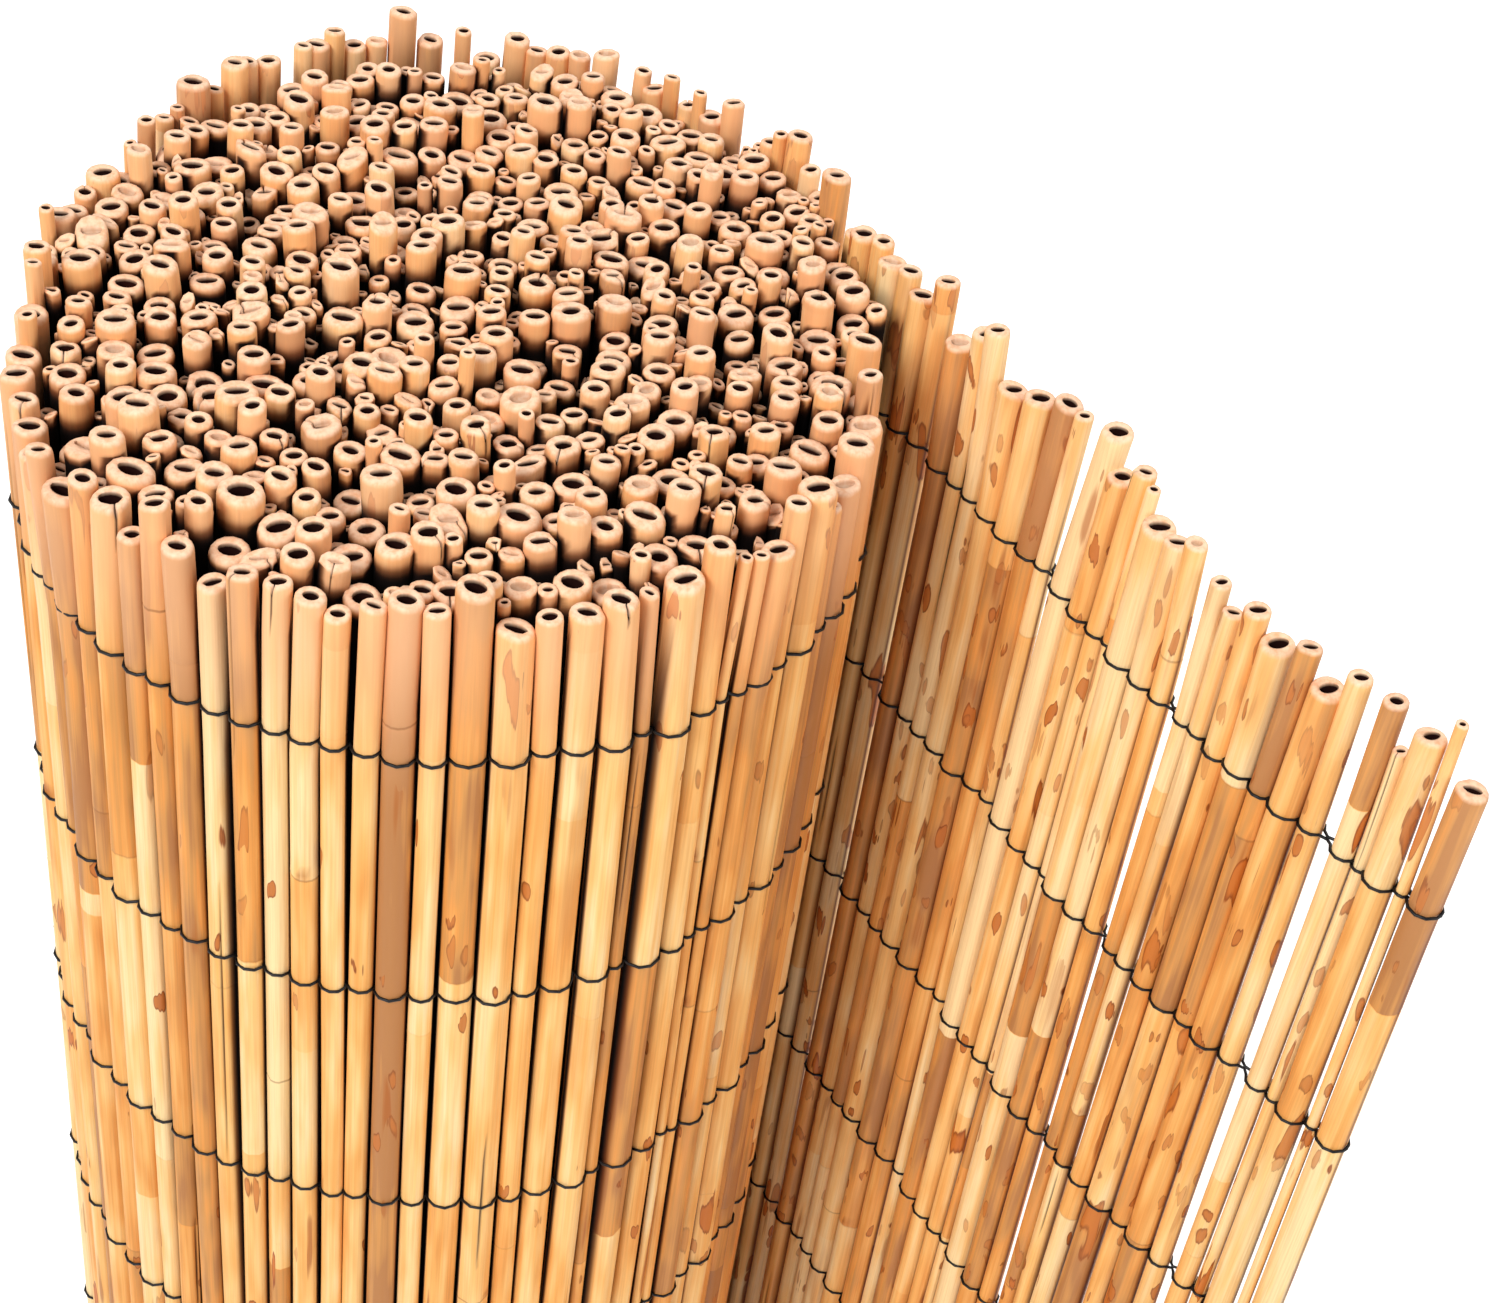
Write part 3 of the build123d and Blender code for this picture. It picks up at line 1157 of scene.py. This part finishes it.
def makeReedMaterial():
    material, tree, shader = newMaterial("peeledReed")
    look = reedFinish
    seed = attributeNode(tree, "reedSeed")

    # The skin: tone of the stem's joint, cloudy patches and fine streaks
    clouds, streaks, fibres = (
        grain(tree, *look[key], seed) for key in ("clouds", "streaks", "fibres")
    )
    tone = attributeNode(tree, "tone")
    tone = mathNode(tree, "ADD", tone, rangeNode(tree, clouds, *look["cloudTone"]))
    tone = mathNode(tree, "ADD", tone, rangeNode(tree, streaks, *look["streakTone"]))
    skin = rampNode(tree, tone, look["tones"])

    def layOver(share, key):
        return mixNode(tree, share, skin, colour(look[key]))

    skin = layOver(rangeNode(tree, fibres, *look["fibreShare"]), "fibre")
    for kind in stains["kinds"].values():
        skin = addStains(tree, skin, seed, clouds, streaks, kind)
    patchy = rangeNode(tree, streaks, *look["leafShare"])
    skin = layOver(mathNode(tree, "MULTIPLY", attributeNode(tree, "leafSpot"), patchy), "leafSpot")

    # The roll's upper ends are pinker, and the cut face lighter with a darker ring round the hole
    tint = mathNode(tree, "SUBTRACT", look["tintUnstained"], attributeNode(tree, "stainedness"))
    tint = mathNode(tree, "MULTIPLY", tint, rangeNode(tree, seed, *look["tintBySeed"]))
    nearTop = rangeNode(tree, attributeNode(tree, "belowTop"), *look["tintReach"])
    skin = layOver(mathNode(tree, "MULTIPLY", tint, nearTop), "topTint")
    skin = layOver(attributeNode(tree, "nodeLine"), "line")
    ring = rangeNode(tree, streaks, *look["ringShare"])
    cutColour = mixNode(tree, ring, colour(look["cutEnd"]), colour(look["cutRing"]))
    cut = mathNode(tree, "MULTIPLY", attributeNode(tree, "cutEnd"), look["cutShare"])
    skin = mixNode(tree, cut, skin, cutColour)
    # Painted shade inside the hole of each cut end
    paintedHoleShade = attributeNode(tree, "paintedHoleShade")
    skin = layOver(paintedHoleShade, "hole")
    # Painted shade in the opening of splits and cracks
    skin = layOver(attributeNode(tree, "paintedSplitShade"), "split")
    # Painted shade, warm brown half way and near black where full: in the crevices, inside the
    # roll and below the packed ends
    paintedShade = attributeNode(tree, "paintedShade")
    skin = layOver(rangeNode(tree, paintedShade, *look["paintedHalfShadeShare"]), "paintedHalfShade")
    skin = layOver(rangeNode(tree, paintedShade, *look["paintedShadeShare"]), "paintedShade")
    tree.links.new(skin, shader.inputs["Base Color"])
    rough = rangeNode(tree, streaks, *look["roughness"])
    dull = mathNode(tree, "MAXIMUM", paintedShade, paintedHoleShade)
    tree.links.new(mathNode(tree, "MAXIMUM", rough, dull), shader.inputs["Roughness"])
    shader.inputs["Specular IOR Level"].default_value = look["specular"]
    raised = mathNode(tree, "MULTIPLY", fibres, look["fibreHeight"])
    height = mathNode(tree, "ADD", streaks, raised)
    addBump(tree, shader, height, look["bump"], look["bumpHeight"])
    return material


wireFinish = {
    "dark": "0E1014",
    "light": "221E1C",
    "specks": 800.0,
    "speckShare": (0.35, 0.7),
    "roughness": (0.3, 0.7, 0.32, 0.55),
    "metallic": 0.6,
    "bump": 0.2,
    "bumpHeight": 0.0001,
}


def makeWireMaterial():
    material, tree, shader = newMaterial("annealedWire")
    look = wireFinish
    specks = grain(tree, look["specks"], look["specks"], 0.0)
    share = rangeNode(tree, specks, *look["speckShare"])
    skin = mixNode(tree, share, colour(look["dark"]), colour(look["light"]))
    tree.links.new(skin, shader.inputs["Base Color"])
    tree.links.new(rangeNode(tree, specks, *look["roughness"]), shader.inputs["Roughness"])
    shader.inputs["Metallic"].default_value = look["metallic"]
    addBump(tree, shader, specks, look["bump"], look["bumpHeight"])
    return material


reedMaterial = makeReedMaterial()
wireMaterial = makeWireMaterial()


def makeReedPieces(kind, stems, count, cellOf):
    for number in range(count):
        first, last = (end * len(stems) // count for end in (number, number + 1))
        piece = makeReedPiece(f"{kind}_{number + 1:02d}", stems[first:last], cellOf)
        piece.data.materials.append(reedMaterial)
        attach(piece, "root")
        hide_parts("reed_mat")


pieceCount = math.ceil(len(outerReeds) / stem["groupSize"])
makeReedPieces("outer_reeds", outerReeds, pieceCount, outerCell)
print(f"made the outermost turn and the flap in {pieceCount} pieces")

makeReedPieces("packed_reeds", innerReeds, stem["innerGroups"], innerCell)
print(f"made the packed turns in {stem['innerGroups']} pieces")


def strandPath(course, side, bound):
    # One strand of a course: it hugs each reed on this side and dips between two reeds
    dice = random.Random(wires["seed"] + 10 * course + side)
    path = []
    for reed, following in zip(bound, bound[1:] + [None]):
        height = wireHeights[course] + reed.wireShift[course]
        x, y = stemAxis(reed, height)
        reach = reed.radius * (1 + reed.oval * 0.5) + wires["radius"] * wires["standOff"]
        arc = wires["arc"] if following else wires["arc"] + wires["endArc"]
        for turn in arc:
            angle = reed.outward - math.radians(turn) * side
            if side < 0:
                angle += math.pi
            path.append((
                x + reach * math.cos(angle), y + reach * math.sin(angle),
                height + dice.uniform(-1, 1) * wires["jitter"],
            ))
        if following:
            nextX, nextY = stemAxis(following, height)
            apart = math.hypot(nextX - x, nextY - y)
            share = 0.5 + 0.5 * (reed.radius - following.radius) / apart
            path.append((
                x + (nextX - x) * share, y + (nextY - y) * share,
                height + side * wires["twist"],
            ))
    return path


def tube(path, radius, sides):
    # The corners and quads of a closed tube along a path
    path = np.array(path)
    along = np.gradient(path, axis=0)
    along /= np.linalg.norm(along, axis=1)[:, None]
    across = np.cross(along, (0.0, 0.0, 1.0))
    across /= np.linalg.norm(across, axis=1)[:, None]
    upright = np.cross(across, along)
    turn = np.arange(sides) * 2 * math.pi / sides
    grid = (
        path[:, None, :]
        + radius * np.cos(turn)[None, :, None] * across[:, None, :]
        + radius * np.sin(turn)[None, :, None] * upright[:, None, :]
    )
    numbers = np.arange(len(path) * sides).reshape(len(path), sides)
    nextOne = np.roll(numbers, -1, axis=1)
    corners = (numbers[:-1], numbers[1:], nextOne[1:], nextOne[:-1])
    quads = np.stack(corners, axis=-1).reshape(-1, 4)
    return grid.reshape(-1, 3), quads.tolist() + [numbers[0].tolist(), numbers[-1][::-1].tolist()]


def makeWires():
    dice = random.Random(wires["seed"])
    bound = [reed for reed in outerReeds if reed.low >= outerTurnStart + mat["flatLength"]]
    for reed in bound:
        reed.wireShift = []
        for course in range(wires["count"]):
            place = reed.low / wires["waverLength"]
            wander = smoothNoise(place, course * wires["waverLayer"], 0.5) * 2 * wires["waver"]
            reed.wireShift.append(wander + dice.gauss(0, 1) * wires["waverOwn"])
    loose = [reed for reed in bound if reed.low > looseStart]
    for course in range(wires["count"]):
        front = strandPath(course, 1, bound)
        back = strandPath(course, -1, loose)
        points, faces = tube(front, wires["radius"], wires["sides"])
        morePoints, moreFaces = tube(back, wires["radius"], wires["sides"])
        shift = len(points)
        faces += [[number + shift for number in face] for face in moreFaces]
        name = f"twisted_wire_{course + 1:02d}"
        mesh = bpy.data.meshes.new(name)
        mesh.from_pydata(np.concatenate((points, morePoints)).tolist(), [], faces)
        mesh.shade_smooth()
        piece = addToScene(name, mesh)
        mesh.materials.append(wireMaterial)
        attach(piece, "root")
        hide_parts(f"binding_wire_{course + 1:02d}")


makeWires()
print(f"made {wires['count']} courses of wire")

# The camera, where the photograph was taken from
view = {
    "place": (0.0, -0.6534, 1.4548),
    "yaw": 8.9,
    "pitch": 42.0,
    "roll": 8.6,
    "focalPixels": 2660.0,
    "imageWidth": 1500.0,
    "sensor": 36.0,
    "clipEnd": 50.0,
}


def makeCamera():
    yaw, pitch, roll = (math.radians(view[key]) for key in ("yaw", "pitch", "roll"))
    ahead = math.cos(pitch)
    forward = Vector((math.sin(yaw) * ahead, math.cos(yaw) * ahead, -math.sin(pitch)))
    level = Vector((math.cos(yaw), -math.sin(yaw), 0.0))
    upright = level.cross(forward)
    right = level * math.cos(roll) + upright * math.sin(roll)
    up = upright * math.cos(roll) - level * math.sin(roll)
    data = bpy.data.cameras.new("camera")
    data.sensor_width = view["sensor"]
    data.lens = view["focalPixels"] / view["imageWidth"] * view["sensor"]
    data.clip_end = view["clipEnd"]
    camera = addToScene("camera", data)
    camera.matrix_world = Matrix((right, up, -forward)).transposed().to_4x4()
    camera.location = view["place"]
    bpy.context.scene.camera = camera


studio = {
    "floorSize": 30.0,
    "floorColour": "F2F1EF",
    "whiteShare": 0.64,        # how much of the floor's white is its own, where it is seen
    "worldStrength": 0.40,
    "lamps": (                 # name, place, size, power
        ("keyLamp", (-1.3, -1.5, 2.7), 1.1, 62.0),
        ("fillLamp", (1.9, -1.2, 1.6), 1.4, 22.0),
        ("backLamp", (0.4, 2.2, 2.4), 1.6, 20.0),
    ),
    "aim": (0.03, 0.0, 0.75),
}


def seenPlainly(tree):
    # Where the camera sees the backdrop, by itself or in or through something
    ray = tree.nodes.new("ShaderNodeLightPath")
    seen = mathNode(tree, "MAXIMUM", ray.outputs["Is Camera Ray"], ray.outputs["Is Glossy Ray"])
    return mathNode(tree, "MAXIMUM", seen, ray.outputs["Is Transmission Ray"])


def makeFloor():
    half = studio["floorSize"] / 2
    corners = [(-half, -half, 0), (half, -half, 0), (half, half, 0), (-half, half, 0)]
    mesh = bpy.data.meshes.new("floor")
    mesh.from_pydata(corners, [], [(0, 1, 2, 3)])
    floor = addToScene("floor", mesh)
    material = bpy.data.materials.new("paleFloor")
    material.use_nodes = True
    tree = material.node_tree
    tree.nodes.clear()
    plain = addNode(tree, "ShaderNodeBsdfDiffuse", Color=colour(studio["floorColour"]))
    white = addNode(tree, "ShaderNodeEmission", Strength=studio["whiteShare"])
    both = tree.nodes.new("ShaderNodeAddShader")
    pick = tree.nodes.new("ShaderNodeMixShader")
    end = tree.nodes.new("ShaderNodeOutputMaterial")
    for start, slot in (
        (plain.outputs[0], both.inputs[0]), (white.outputs[0], both.inputs[1]),
        (seenPlainly(tree), pick.inputs[0]), (plain.outputs[0], pick.inputs[1]),
        (both.outputs[0], pick.inputs[2]), (pick.outputs[0], end.inputs[0]),
    ):
        tree.links.new(start, slot)
    mesh.materials.append(material)
    floor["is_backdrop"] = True


def makeLights():
    for name, place, size, energy in studio["lamps"]:
        data = bpy.data.lights.new(name, "AREA")
        data.size = size
        data.energy = energy
        lamp = addToScene(name, data)
        lamp.location = place
        aim = Vector(studio["aim"]) - Vector(place)
        lamp.rotation_euler = aim.to_track_quat("-Z", "Y").to_euler()
    world = bpy.data.worlds.new("studio")
    bpy.context.scene.world = world
    world.use_nodes = True
    tree = world.node_tree
    backdrop = tree.nodes["Background"]
    backdrop.inputs["Color"].default_value = (1.0, 1.0, 1.0, 1.0)
    strength = rangeNode(tree, seenPlainly(tree), 0.0, 1.0, studio["worldStrength"], 1.0)
    tree.links.new(strength, backdrop.inputs["Strength"])


makeCamera()
makeFloor()
makeLights()
bpy.context.scene.view_settings.view_transform = "Standard"
print("made the camera, floor and lights")

triangles = 0
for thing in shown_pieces():
    thing.data.calc_loop_triangles()
    triangles += len(thing.data.loop_triangles)
print(f"{triangles} triangles in all")
